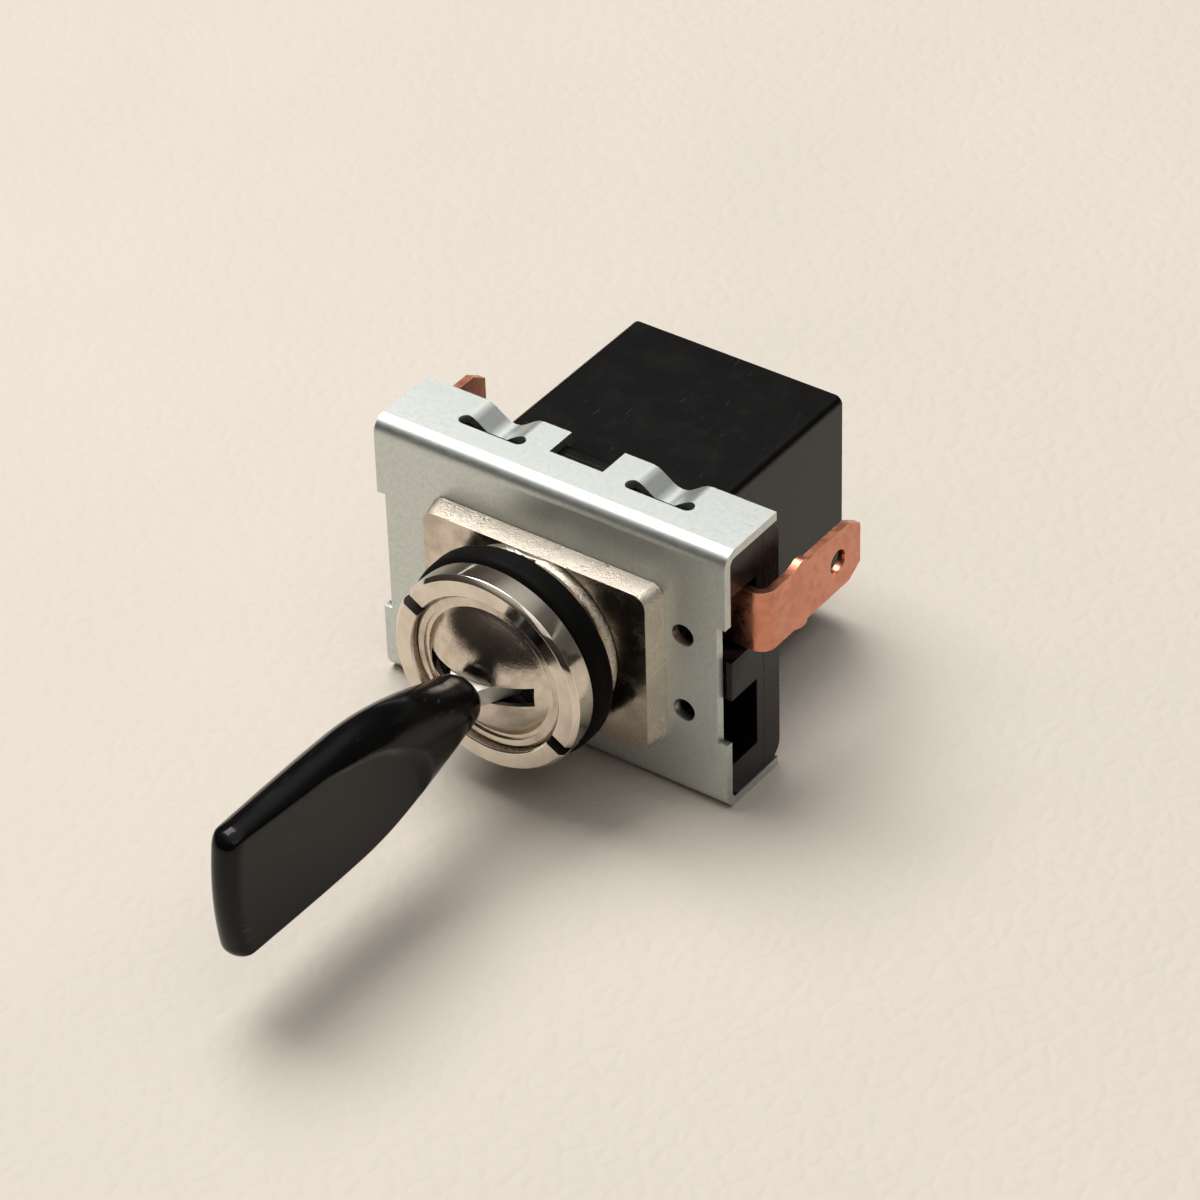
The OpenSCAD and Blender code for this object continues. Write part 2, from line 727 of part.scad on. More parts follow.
module rear_cover() {
    shelf_top = carriage_z0 - slide_gap;
    color([0.1, 0.1, 0.1]) {
        difference() {
            cover_shell();
            crimp_reliefs(seam_y - eps, bracket_depth + relief_room);
        }
        detent_saddle();
        // shelf and stop that guide the carriage
        block([-cavity_half_w - eps, shelf_y, shelf_top - shelf_t],
            [cavity_half_w + eps, carriage_y1 + slide_gap + stop_t, shelf_top]);
        block([-cavity_half_w - eps, carriage_y1 + slide_gap, shelf_top - eps],
            [cavity_half_w + eps, carriage_y1 + slide_gap + stop_t, cavity_top_z + eps]);
        // lug in the bracket's notch
        block([-lug_w / 2, seam_y, mid_z + box_h / 2 - eps], [lug_w / 2, seam_y + lug_len, lug_top_z]);
        // pads that hold the terminal strips in their channels
        both_sides() strip_pad(0, strip_rear_y + fit_gap);
    }
}

// ---- terminals and contacts ----

module strip_outline() {
    centre = [blade_x - strip_bend_r, strip_y + strip_bend_r];
    translate([strip_end_x, strip_y]) square([centre[0] - strip_end_x, strip_t]);
    translate([blade_x - strip_t, centre[1]]) square([strip_t, blade_end_y - centre[1]]);
    translate(centre) intersection() {
        difference() {
            circle(strip_bend_r);
            circle(strip_bend_r - strip_t);
        }
        translate([0, -strip_bend_r]) square(strip_bend_r);
    }
}

// One shoulder step on a blade's edge; up is 1 for the top edge and -1 for the bottom edge.
module blade_shoulder(up) {
    ramp = 1.2;
    drop = 0.2;
    root = 1;
    translate([blade_x - strip_t, shoulder_y, 0]) rotate([90, 0, 90]) linear_extrude(strip_t) scale([1, up])
        polygon([[-shoulder_len / 2, 0], [-shoulder_len / 2 + ramp, shoulder_rise],
            [shoulder_len / 2 - drop, shoulder_rise], [shoulder_len / 2, 0],
            [shoulder_len / 2, -root], [-shoulder_len / 2, -root]]);
}

module right_terminal() {
    mid = (blade_z0 + blade_z1) / 2;
    color("darksalmon") difference() {
        union() {
            translate([0, 0, blade_z0]) linear_extrude(blade_w) strip_outline();
            translate([0, 0, blade_z1]) blade_shoulder(1);
            translate([0, 0, blade_z0]) blade_shoulder(-1);
        }
        block([0, 0, 0], [inner_strip_x, strip_rear_y + eps, inner_strip_z0]);
        for (s = [-1, 1]) translate([blade_x - strip_t - eps, blade_end_y, mid + s * blade_w / 2])
            rotate([90, 0, 90]) linear_extrude(strip_t + 2 * eps) scale([1, s])
                polygon([[-blade_chamfer_y, eps], [eps, -blade_chamfer_z], [eps, eps]]);
        translate([blade_x - strip_t - eps, blade_hole_y, mid]) rotate([0, 90, 0])
            cylinder(h = strip_t + 2 * eps, r = blade_hole_r);
        translate([terminal_rivet_x, 0, mid]) bar_y(strip_y - eps, strip_rear_y + eps, terminal_rivet_r);
        for (x = [-1, 1]) translate([bridge_contact_x + x * carriage_travel, 0, contact_z])
            bar_y(strip_y - eps, strip_rear_y + eps, contact_shank_r);
    }
}

module left_terminal() {
    mirror([1, 0, 0]) right_terminal();
}

module terminal_rivets() {
    front_y = base_front_y + rivet_inset;
    color("goldenrod") both_sides() translate([terminal_rivet_x, 0, (blade_z0 + blade_z1) / 2]) {
        bar_y(front_y, front_y + rivet_head_t, rivet_head_r);
        bar_y(front_y + eps, strip_rear_y + eps, terminal_rivet_r);
        bar_y(strip_rear_y, strip_rear_y + rivet_head_t, rivet_head_r);
    }
}

module fixed_contacts() {
    color("whitesmoke") both_sides() for (x = [-1, 1])
        translate([bridge_contact_x + x * carriage_travel, 0, contact_z]) {
            bar_y(strip_y, strip_rear_y + eps, contact_shank_r);
            bar_y(strip_rear_y, strip_rear_y + contact_head_t, contact_r);
        }
}

module contact_carriage() {
    color("ivory") difference() {
        union() {
            block([-carriage_half_w, carriage_y0, carriage_z0],
                [carriage_half_w, carriage_y1, carriage_z1]);
            translate([0, 0, contact_z]) bar_y(bridge_front_y - post_proud, carriage_y0 + eps, post_r);
        }
        block([-peg_r - slide_gap, 0, carriage_z0 - eps],
            [peg_r + slide_gap, peg_slot_y, peg_top_z + slide_gap]);
        for (x = [-1, 1]) translate([x * spring_x, 0, contact_z])
            bar_y(carriage_y0 - eps, spring_pocket_y, spring_pocket_r);
    }
}

module contact_bridge() {
    color("darksalmon") difference() {
        block([-bridge_half_w, bridge_front_y, contact_z - bridge_half_h],
            [bridge_half_w, bridge_front_y + bridge_t, contact_z + bridge_half_h]);
        translate([0, 0, contact_z])
            bar_y(bridge_front_y - eps, bridge_front_y + bridge_t + eps, post_r + fit_gap);
        for (x = [-1, 1]) translate([x * bridge_contact_x, 0, contact_z])
            bar_y(bridge_front_y - eps, bridge_front_y + bridge_t + eps, contact_shank_r);
    }
}

module moving_contacts() {
    color("whitesmoke") both_sides() translate([bridge_contact_x, 0, contact_z]) {
        bar_y(bridge_front_y - moving_head_t, bridge_front_y, moving_head_r);
        bar_y(bridge_front_y - eps, bridge_front_y + bridge_t, contact_shank_r);
    }
}

module contact_springs() {
    coil_r = 1.05;
    wire_r = 0.2;
    color("silver") both_sides() translate([spring_x, 0, contact_z])
        coil(bridge_front_y + bridge_t + fit_gap, spring_pocket_y - fit_gap, coil_r, wire_r, 4);
}

bracket();
neck_plate();
sealing_washer();
ring_nut();
dome_cap();
pivot_pin();
lever_hub();
lever_blade();
blade_rivet();
paddle();
detent_plunger();
detent_spring();
detent_plate();
insulating_sheet();
terminal_base();
rear_cover();
right_terminal();
left_terminal();
terminal_rivets();
fixed_contacts();
contact_carriage();
contact_bridge();
moving_contacts();
contact_springs();
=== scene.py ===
import json
import logging
import math
from dataclasses import dataclass
from enum import Enum
from typing import Callable, Optional, Sequence, Union

import bmesh
import bpy
from mathutils import Matrix, Vector


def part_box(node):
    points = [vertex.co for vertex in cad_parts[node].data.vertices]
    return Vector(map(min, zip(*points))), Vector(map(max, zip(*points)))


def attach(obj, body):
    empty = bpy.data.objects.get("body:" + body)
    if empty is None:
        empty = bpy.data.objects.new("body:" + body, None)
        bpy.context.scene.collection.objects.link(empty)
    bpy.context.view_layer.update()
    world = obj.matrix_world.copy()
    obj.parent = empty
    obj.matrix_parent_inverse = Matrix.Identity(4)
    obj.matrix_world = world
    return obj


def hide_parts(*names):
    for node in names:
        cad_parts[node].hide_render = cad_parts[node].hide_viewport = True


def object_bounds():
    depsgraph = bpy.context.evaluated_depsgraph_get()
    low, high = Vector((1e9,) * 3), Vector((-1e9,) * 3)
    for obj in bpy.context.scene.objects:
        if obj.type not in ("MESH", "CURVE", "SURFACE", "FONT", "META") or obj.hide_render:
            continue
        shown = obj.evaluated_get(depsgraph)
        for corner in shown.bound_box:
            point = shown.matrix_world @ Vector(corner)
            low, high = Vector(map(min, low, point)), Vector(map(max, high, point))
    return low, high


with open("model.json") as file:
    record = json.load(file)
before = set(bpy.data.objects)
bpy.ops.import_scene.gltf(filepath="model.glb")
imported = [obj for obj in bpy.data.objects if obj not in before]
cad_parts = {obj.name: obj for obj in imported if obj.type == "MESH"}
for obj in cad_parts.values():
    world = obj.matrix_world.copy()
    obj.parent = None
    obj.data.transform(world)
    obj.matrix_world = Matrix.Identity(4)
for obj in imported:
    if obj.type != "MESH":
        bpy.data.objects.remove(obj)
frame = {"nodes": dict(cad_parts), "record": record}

CAD_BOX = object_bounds()
MM = 0.001
MERGE_MM = 0.0005
FLAT_DEGREES = 0.3
WEAR = "wear"
# name of the face mark for painted shade inside the ring nut's spanner slots
PAINTED_SLOT_SHADE = "grime"
log = logging.getLogger("switch")

Colour = tuple[float, float, float]
Place = tuple[float, float, float]
Table = tuple[tuple[float, float], ...]
Stops = tuple[tuple[float, Colour], ...]


def body_of(node: str) -> str:
    """Finds the body that a CAD node rides on.

    Args:
        node: Name of the CAD node.

    Returns:
        The body's name.
    """
    bodies = frame["record"]["behaviour"]["bodies"]
    return next(body for body, members in bodies.items() if node in members)


# ---------------------------------------------------------------- shader tools


class Signal:
    """A shader value whose arithmetic adds Math nodes."""

    def __init__(self, graph: "Graph", socket: bpy.types.NodeSocket) -> None:
        """Keeps the socket and the graph that it belongs to."""
        self.graph = graph
        self.socket = socket

    def _math(self, operation: str, *terms: Union["Signal", float], clamp: bool = False) -> "Signal":
        """Adds one Math node.

        Args:
            operation: The Math node's operation.
            terms: Its inputs in order.
            clamp: Whether the result is held between 0 and 1.

        Returns:
            The node's value.
        """
        settings = {"operation": operation, "use_clamp": clamp}
        node = self.graph.add("ShaderNodeMath", settings, dict(enumerate(terms)))
        return Signal(self.graph, node.outputs[0])

    def __add__(self, other: Union["Signal", float]) -> "Signal":
        """Self plus other."""
        return self._math("ADD", self, other)

    def __radd__(self, other: float) -> "Signal":
        """Other plus self."""
        return self._math("ADD", other, self)

    def __sub__(self, other: Union["Signal", float]) -> "Signal":
        """Self minus other."""
        return self._math("SUBTRACT", self, other)

    def __rsub__(self, other: float) -> "Signal":
        """Other minus self."""
        return self._math("SUBTRACT", other, self)

    def __mul__(self, other: Union["Signal", float]) -> "Signal":
        """Self times other."""
        return self._math("MULTIPLY", self, other)

    def __rmul__(self, other: float) -> "Signal":
        """Other times self."""
        return self._math("MULTIPLY", other, self)

    def held(self) -> "Signal":
        """Self held between 0 and 1."""
        return self._math("ADD", self, 0.0, clamp=True)


@dataclass(frozen=True)
class Grain:
    """One scale of noise on a surface.

    Attributes:
        size_mm: Size of the pattern's features.
        detail: Number of finer octaves.
        rough: Share of each finer octave.
        stretch: How far the pattern is drawn out along X, Y and Z.
        warp: Distortion of the pattern.
    """

    size_mm: float
    detail: float = 3.0
    rough: float = 0.55
    stretch: tuple[float, float, float] = (1.0, 1.0, 1.0)
    warp: float = 0.0


class Graph:
    """A node tree under construction."""

    def __init__(self, owner: Union[bpy.types.Material, bpy.types.World]) -> None:
        """Empties the owner's node tree."""
        owner.use_nodes = True
        self.tree = owner.node_tree
        self.tree.nodes.clear()

    def add(
        self,
        kind: str,
        settings: Optional[dict[str, object]] = None,
        inputs: Optional[dict[Union[str, int], object]] = None,
    ) -> bpy.types.Node:
        """Adds a node, sets it up and feeds its sockets.

        Args:
            kind: Blender's type name of the node.
            settings: Properties set first; "stops" fills a colour ramp.
            inputs: Values, signals or sockets for the input sockets.

        Returns:
            The new node.
        """
        node = self.tree.nodes.new(kind)
        for key, value in (settings or {}).items():
            if key == "stops":
                self._set_stops(node.color_ramp, value)
            else:
                setattr(node, key, value)
        for key, value in (inputs or {}).items():
            self.feed(node.inputs[key], value)
        return node

    @staticmethod
    def _set_stops(ramp: bpy.types.ColorRamp, stops: Stops) -> None:
        """Fills a colour ramp with its stops."""
        while len(ramp.elements) < len(stops):
            ramp.elements.new(1.0)
        for element, (position, colour) in zip(ramp.elements, stops):
            element.position = position
            element.color = (*colour, 1.0)

    def feed(self, socket: bpy.types.NodeSocket, value: object) -> None:
        """Links or sets one input socket.

        Args:
            socket: The input socket.
            value: A signal, an output socket, a colour, a vector or a number.
        """
        if isinstance(value, Signal):
            value = value.socket
        if isinstance(value, bpy.types.NodeSocket):
            self.tree.links.new(value, socket)
        elif socket.type == "RGBA" and len(value) == 3:
            socket.default_value = (*value, 1.0)
        else:
            socket.default_value = value


class Shader(Graph):
    """A node material under construction."""

    def __init__(self, name: str) -> None:
        """Starts a material with a Principled shader."""
        self.material = bpy.data.materials.new(name)
        super().__init__(self.material)
        self.surface = self.add("ShaderNodeBsdfPrincipled")
        self.add("ShaderNodeOutputMaterial", None, {"Surface": self.surface.outputs[0]})
        self.place = self.add("ShaderNodeTexCoord").outputs["Object"]

    def mark(self, name: str) -> Signal:
        """Reads one of the faces' own marks, 0 to 1.

        Args:
            name: Name of the mark.

        Returns:
            Its value; 0 on a mesh without it.
        """
        node = self.add("ShaderNodeAttribute", {"attribute_type": "GEOMETRY", "attribute_name": name})
        return Signal(self, node.outputs["Fac"])

    def grain(self, grain: Grain) -> Signal:
        """Adds a noise pattern that is fixed to the piece.

        Args:
            grain: Size and character of the noise.

        Returns:
            The noise value, about 0 to 1.
        """
        per_metre = 1.0 / (grain.size_mm * MM)
        scale = tuple(per_metre / s for s in grain.stretch)
        mapped = self.add("ShaderNodeMapping", None, {"Vector": self.place, "Scale": scale})
        inputs = {"Vector": mapped.outputs[0], "Scale": 1.0, "Detail": grain.detail,
                  "Roughness": grain.rough, "Distortion": grain.warp}
        node = self.add("ShaderNodeTexNoise", None, inputs)
        return Signal(self, node.outputs[0])

    def cells(self, size_mm: float, feature: str = "F1") -> Signal:
        """Adds a cell pattern that is fixed to the piece.

        Args:
            size_mm: Size of a cell.
            feature: The Voronoi node's feature.

        Returns:
            The distance within a cell.
        """
        inputs = {"Vector": self.place, "Scale": 1.0 / (size_mm * MM)}
        node = self.add("ShaderNodeTexVoronoi", {"feature": feature}, inputs)
        return Signal(self, node.outputs["Distance"])

    def between(self, value: Signal, low: float, high: float) -> Signal:
        """Stretches a range of a signal to 0 to 1, with soft ends.

        Args:
            value: The signal.
            low: The value that becomes 0.
            high: The value that becomes 1.

        Returns:
            The stretched signal.
        """
        settings = {"interpolation_type": "SMOOTHSTEP"}
        inputs = {"Value": value, "From Min": low, "From Max": high}
        return Signal(self, self.add("ShaderNodeMapRange", settings, inputs).outputs[0])

    def mixed(self, share: Union[Signal, float], first: object, second: object) -> bpy.types.NodeSocket:
        """Mixes two colours.

        Args:
            share: Share of the second colour.
            first: A colour or a colour socket.
            second: A colour or a colour socket.

        Returns:
            The mixed colour's socket.
        """
        node = self.add("ShaderNodeMix", {"data_type": "RGBA"}, {0: share, 6: first, 7: second})
        return node.outputs[2]

    def relief(self, height: Signal, depth_mm: float, under: object = None) -> bpy.types.NodeSocket:
        """Adds a bump.

        Args:
            height: The height pattern.
            depth_mm: Height between the pattern's 0 and 1.
            under: The normal of a coarser bump beneath it.

        Returns:
            The bumped normal's socket.
        """
        inputs = {"Strength": 1.0, "Distance": depth_mm * MM, "Height": height}
        if under is not None:
            inputs["Normal"] = under
        return self.add("ShaderNodeBump", None, inputs).outputs[0]

    def finish(self, **sockets: object) -> bpy.types.Material:
        """Feeds the Principled shader.

        Args:
            sockets: Its inputs, with _ for a space in their names.

        Returns:
            The finished material.
        """
        for key, value in sockets.items():
            self.feed(self.surface.inputs[key.replace("_", " ").title().replace("Ior", "IOR")], value)
        return self.material


# ---------------------------------------------------------------- finishes


@dataclass(frozen=True)
class Metal:
    """A bare or plated metal surface.

    Attributes:
        name: Name of the material.
        colour: Its main colour.
        stain: The colour of its duller patches.
        gloss: Roughness of the brightest areas.
        dull: Roughness of the dullest areas.
        cloud: Size of the patches.
        brush: Fine lines left by rolling or machining.
        brush_mm: Depth of those lines.
        pits_mm: Depth of a cast skin's unevenness, or 0.
        pit_size_mm: Size of that unevenness.
        edge: Colour of worn or sheared edges, if they differ.
        edge_pits_mm: Depth of the grit on those edges.
    """

    name: str
    colour: Colour
    stain: Colour
    gloss: float
    dull: float
    cloud: Grain = Grain(3.0)
    brush: Grain = Grain(0.15)
    brush_mm: float = 0.0015
    pits_mm: float = 0.0
    pit_size_mm: float = 0.5
    edge: Optional[Colour] = None
    edge_pits_mm: float = 0.0

    def build(self) -> bpy.types.Material:
        """Makes the material."""
        shader = Shader(self.name)
        patches = shader.between(shader.grain(self.cloud), 0.35, 0.7)
        lines = shader.grain(self.brush)
        specks = shader.between(shader.grain(Grain(0.35, 2.0)), 0.62, 0.74)
        colour = shader.mixed(patches * 0.8, self.colour, self.stain)
        colour = shader.mixed(specks * 0.35, colour, self.stain)
        rough = self.gloss + patches * (self.dull - self.gloss) + (lines - 0.5) * 0.08 + specks * 0.06
        normal = shader.relief(lines, self.brush_mm)
        if self.pits_mm:
            lumps = shader.grain(Grain(self.pit_size_mm, 4.0, 0.6))
            normal = shader.relief(lumps, self.pits_mm, normal)
        if self.edge:
            wear = shader.mark(WEAR)
            colour = shader.mixed(wear * (0.55 + 0.45 * shader.grain(Grain(0.5))), colour, self.edge)
            rough = rough + wear * 0.1
            if self.edge_pits_mm:
                grit = shader.grain(Grain(0.22, 3.0, 0.7)) * wear
                normal = shader.relief(grit, self.edge_pits_mm, normal)
            # painted shade: faces marked as spanner-slot walls and floors are darkened almost to black,
            # standing in for the shade inside the slots
            grime = shader.mark(PAINTED_SLOT_SHADE)
            colour = shader.mixed(grime * 0.9, colour, (0.03, 0.025, 0.02))
            rough = rough + grime * 0.4
        return shader.finish(base_color=colour, metallic=1.0, roughness=rough.held(), normal=normal)


@dataclass(frozen=True)
class Moulding:
    """A moulded plastic, rubber or fibre surface.

    Attributes:
        name: Name of the material.
        colour: Its main colour.
        bloom: The colour of its greyer, dusty patches.
        gloss: Roughness of the clean areas.
        dull: Roughness of the dusty areas.
        cloud: Size of the patches.
        skin_mm: Depth of the moulded skin's unevenness.
        skin_size_mm: Size of that unevenness.
        scuff: Share of scuff marks.
        shine: Level of its reflections.
        mottle: Strength of a fine grey mottling.
    """

    name: str
    colour: Colour
    bloom: Colour
    gloss: float
    dull: float
    cloud: Grain = Grain(4.0)
    skin_mm: float = 0.004
    skin_size_mm: float = 0.4
    scuff: float = 0.0
    shine: float = 0.25
    mottle: float = 0.0

    def build(self) -> bpy.types.Material:
        """Makes the material."""
        shader = Shader(self.name)
        patches = shader.between(shader.grain(self.cloud), 0.4, 0.75)
        dust = shader.between(shader.grain(Grain(0.22, 2.0)), 0.66, 0.76)
        colour = shader.mixed(patches * 0.6, self.colour, self.bloom)
        colour = shader.mixed(dust * 0.35, colour, self.bloom)
        rough = self.gloss + patches * (self.dull - self.gloss) + dust * 0.1
        if self.mottle:
            spots = shader.between(shader.grain(Grain(0.9, 5.0, 0.7)), 0.5, 0.68)
            colour = shader.mixed(spots * self.mottle, colour, tuple(3.0 * c for c in self.bloom))
        normal = shader.relief(shader.grain(Grain(self.skin_size_mm, 3.0)), self.skin_mm)
        if self.scuff:
            streaks = shader.grain(Grain(0.5, 4.0, 0.65, (1.0, 6.0, 1.0), 0.6))
            areas = shader.between(shader.grain(Grain(5.0)), 0.46, 0.6)
            marks = shader.between(streaks, 0.60, 0.70) * areas
            colour = shader.mixed(marks * self.scuff, colour, tuple(12.0 * c for c in self.bloom))
            rough = rough + marks * 0.3 * self.scuff
        return shader.finish(base_color=colour, roughness=rough.held(), normal=normal,
                             specular_ior_level=self.shine)


class Finish(Enum):
    """The finishes of the switch's pieces."""

    ZINC = Metal("zinc_steel", (0.64, 0.68, 0.655), (0.55, 0.60, 0.59), 0.39, 0.46,
                 Grain(0.45, 4.0, 0.6), Grain(0.10, 3.0, 0.6, (14.0, 1.0, 1.0)), 0.0025,
                 edge=(0.80, 0.83, 0.79))
    CAST_NICKEL = Metal("cast_nickel", (0.68, 0.60, 0.51), (0.46, 0.38, 0.31), 0.15, 0.30,
                        Grain(2.5), Grain(0.2), 0.002, 0.012, 0.7,
                        edge=(0.74, 0.68, 0.58), edge_pits_mm=0.12)
    NICKEL = Metal("polished_nickel", (0.74, 0.67, 0.58), (0.62, 0.54, 0.46), 0.06, 0.15,
                   Grain(2.0), Grain(0.12), 0.0008, edge=(0.9, 0.86, 0.8))
    DOME_NICKEL = Metal("satin_nickel", (0.70, 0.62, 0.53), (0.55, 0.47, 0.39), 0.14, 0.24,
                        Grain(1.1, 4.0, 0.6), Grain(0.15), 0.0015, 0.018, 0.28,
                        edge=(0.92, 0.88, 0.82), edge_pits_mm=0.01)
    PIN_STEEL = Metal("steel_pin", (0.56, 0.56, 0.55), (0.42, 0.41, 0.40), 0.22, 0.4)
    BLADE_STEEL = Metal("lever_steel", (0.78, 0.79, 0.74), (0.60, 0.60, 0.56), 0.36, 0.5,
                        Grain(1.5), Grain(0.1, 3.0, 0.6, (1.0, 8.0, 1.0)), 0.003)
    HUB_ZINC = Metal("hub_zinc", (0.52, 0.53, 0.55), (0.38, 0.39, 0.41), 0.36, 0.52,
                     Grain(2.0), Grain(0.2), 0.002, 0.01, 0.6)
    SPRING = Metal("spring_steel", (0.45, 0.45, 0.46), (0.32, 0.32, 0.33), 0.25, 0.4)
    COPPER = Metal("copper", (0.64, 0.265, 0.17), (0.54, 0.205, 0.13), 0.26, 0.38,
                   Grain(1.2, 4.0, 0.6), Grain(0.12, 3.0, 0.6, (1.0, 9.0, 1.0)), 0.003,
                   edge=(1.0, 0.56, 0.36))
    BRASS = Metal("brass_rivet", (0.72, 0.52, 0.24), (0.55, 0.38, 0.16), 0.28, 0.42)
    SILVER = Metal("silver_contact", (0.86, 0.85, 0.82), (0.62, 0.60, 0.56), 0.18, 0.34)
    PADDLE = Moulding("gloss_black", (0.0022, 0.0022, 0.0024), (0.004, 0.004, 0.004), 0.13, 0.22,
                      Grain(6.0), 0.0015, 0.8, 0.6, 0.22)
    BAKELITE = Moulding("black_moulding", (0.0022, 0.0022, 0.0023), (0.0034, 0.0034, 0.0034), 0.25, 0.30,
                        Grain(3.5, 5.0, 0.62), 0.003, 0.5, 0.25, 0.24, 0.04)
    RUBBER = Moulding("black_rubber", (0.0018, 0.0018, 0.0018), (0.0035, 0.0035, 0.0035), 0.6, 0.8,
                      Grain(2.0), 0.01, 0.3, 0.0, 0.08)
    FIBRE = Moulding("fibre_brown", (0.035, 0.020, 0.012), (0.06, 0.035, 0.02), 0.55, 0.75,
                     Grain(1.5), 0.012, 0.25)
    NYLON = Moulding("ivory_nylon", (0.62, 0.58, 0.46), (0.55, 0.50, 0.38), 0.35, 0.5,
                     Grain(4.0), 0.003, 0.6, 0.0, 0.5)


class Workshop:
    """Makes each material once and hands it out."""

    def __init__(self) -> None:
        """Starts with no material made."""
        self.made: dict[Finish, bpy.types.Material] = {}

    def material(self, finish: Finish) -> bpy.types.Material:
        """Gives a finish's material, made at its first use."""
        if finish not in self.made:
            self.made[finish] = finish.value.build()
        return self.made[finish]


# ---------------------------------------------------------------- mesh tools


def cad_copy(node: str) -> bmesh.types.BMesh:
    """Copies a CAD node's mesh as one merged skin with whole flat faces.

    Args:
        node: Name of the CAD node.

    Returns:
        The merged copy.
    """
    bm = bmesh.new()
    bm.from_mesh(frame["nodes"][node].data)
    bmesh.ops.remove_doubles(bm, verts=bm.verts, dist=MERGE_MM * MM)
    bmesh.ops.dissolve_limit(bm, angle_limit=math.radians(FLAT_DEGREES), verts=bm.verts, edges=bm.edges)
    return bm


def sharp_edges(bm: bmesh.types.BMesh, angle: float = 30.0) -> list[bmesh.types.BMEdge]:
    """Finds the edges at which a skin turns by more than an angle."""
    limit = math.radians(angle)
    return [e for e in bm.edges if e.is_manifold and e.calc_face_angle(0.0) > limit]


def round_edges(
    bm: bmesh.types.BMesh,
    radius_mm: float,
    segments: int = 2,
    chosen: Optional[Callable[[bmesh.types.BMEdge], bool]] = None,
) -> None:
    """Rounds a skin's sharp edges.

    Args:
        bm: The mesh.
        radius_mm: Width of the rounding.
        segments: Facets across it.
        chosen: Says which of the sharp edges are rounded; all of them if it is left out.
    """
    layer = bm.faces.layers.float.get(WEAR) or bm.faces.layers.float.new(WEAR)
    edges = [e for e in sharp_edges(bm) if chosen is None or chosen(e)]
    made = bmesh.ops.bevel(bm, geom=edges, offset=radius_mm * MM, offset_type="OFFSET", segments=segments,
                           profile=0.5, affect="EDGES", clamp_overlap=True, material=-1, loop_slide=True)
    for face in made["faces"]:
        face[layer] = 1.0


# ---------------------------------------------------------------- sub-assemblies


@dataclass
class SubAssembly:
    """A group of pieces that are dressed together.

    Attributes:
        shop: Where the materials come from.
    """

    shop: Workshop

    def stand_in(
        self, name: str, bm: bmesh.types.BMesh, finish: Finish, node: str, crease: float = 35.0
    ) -> bpy.types.Object:
        """Turns a mesh into a piece that stands for a CAD node.

        Args:
            name: Name of the piece.
            bm: Its mesh, which is freed.
            finish: Its finish.
            node: The CAD node that it stands for.
            crease: Angle past which an edge is shaded sharp.

        Returns:
            The piece.
        """
        mesh = bpy.data.meshes.new(name)
        bm.to_mesh(mesh)
        bm.free()
        mesh.materials.append(self.shop.material(finish))
        mesh.polygons.foreach_set("use_smooth", [True] * len(mesh.polygons))
        mesh.set_sharp_from_angle(angle=math.radians(crease))
        piece = bpy.data.objects.new(name, mesh)
        bpy.context.scene.collection.objects.link(piece)
        shading = piece.modifiers.new("shading", "WEIGHTED_NORMAL")
        shading.keep_sharp = True
        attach(piece, body_of(node))
        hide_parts(node)
        log.info("%s stands for %s, %d faces", name, node, len(mesh.polygons))
        return piece

    def dress(self, node: str, finish: Finish) -> None:
        """Gives a CAD node that keeps its own mesh a finish.

        Args:
            node: Name of the CAD node.
            finish: Its finish.
        """
        mesh = frame["nodes"][node].data
        mesh.materials.clear()
        mesh.materials.append(self.shop.material(finish))
        log.info("%s is dressed as %s", node, finish.value.name)

    def soften(
        self,
        node: str,
        name: str,
        finish: Finish,
        radius_mm: float,
        segments: int = 2,
        chosen: Optional[Callable[[bmesh.types.BMEdge], bool]] = None,
    ) -> bpy.types.Object:
        """Replaces a CAD node by a copy whose edges are rounded.

        Args:
            node: Name of the CAD node.
            name: Name of the piece.
            finish: Its finish.
            radius_mm: Width of the rounding.
            segments: Facets across it.
            chosen: Says which of the sharp edges are rounded; all of them if it is left out.

        Returns:
            The piece.
        """
        bm = cad_copy(node)
        round_edges(bm, radius_mm, segments, chosen)
        return self.stand_in(name, bm, finish, node)


@dataclass
class Mounting(SubAssembly):
    """The channel bracket and the fibre sheet behind its face."""

    edge_mm: float = 0.1

    def build(self) -> None:
        """Makes the pieces."""
        self.soften("bracket", "channel_bracket", Finish.ZINC, self.edge_mm)
        self.dress("insulating_sheet", Finish.FIBRE)


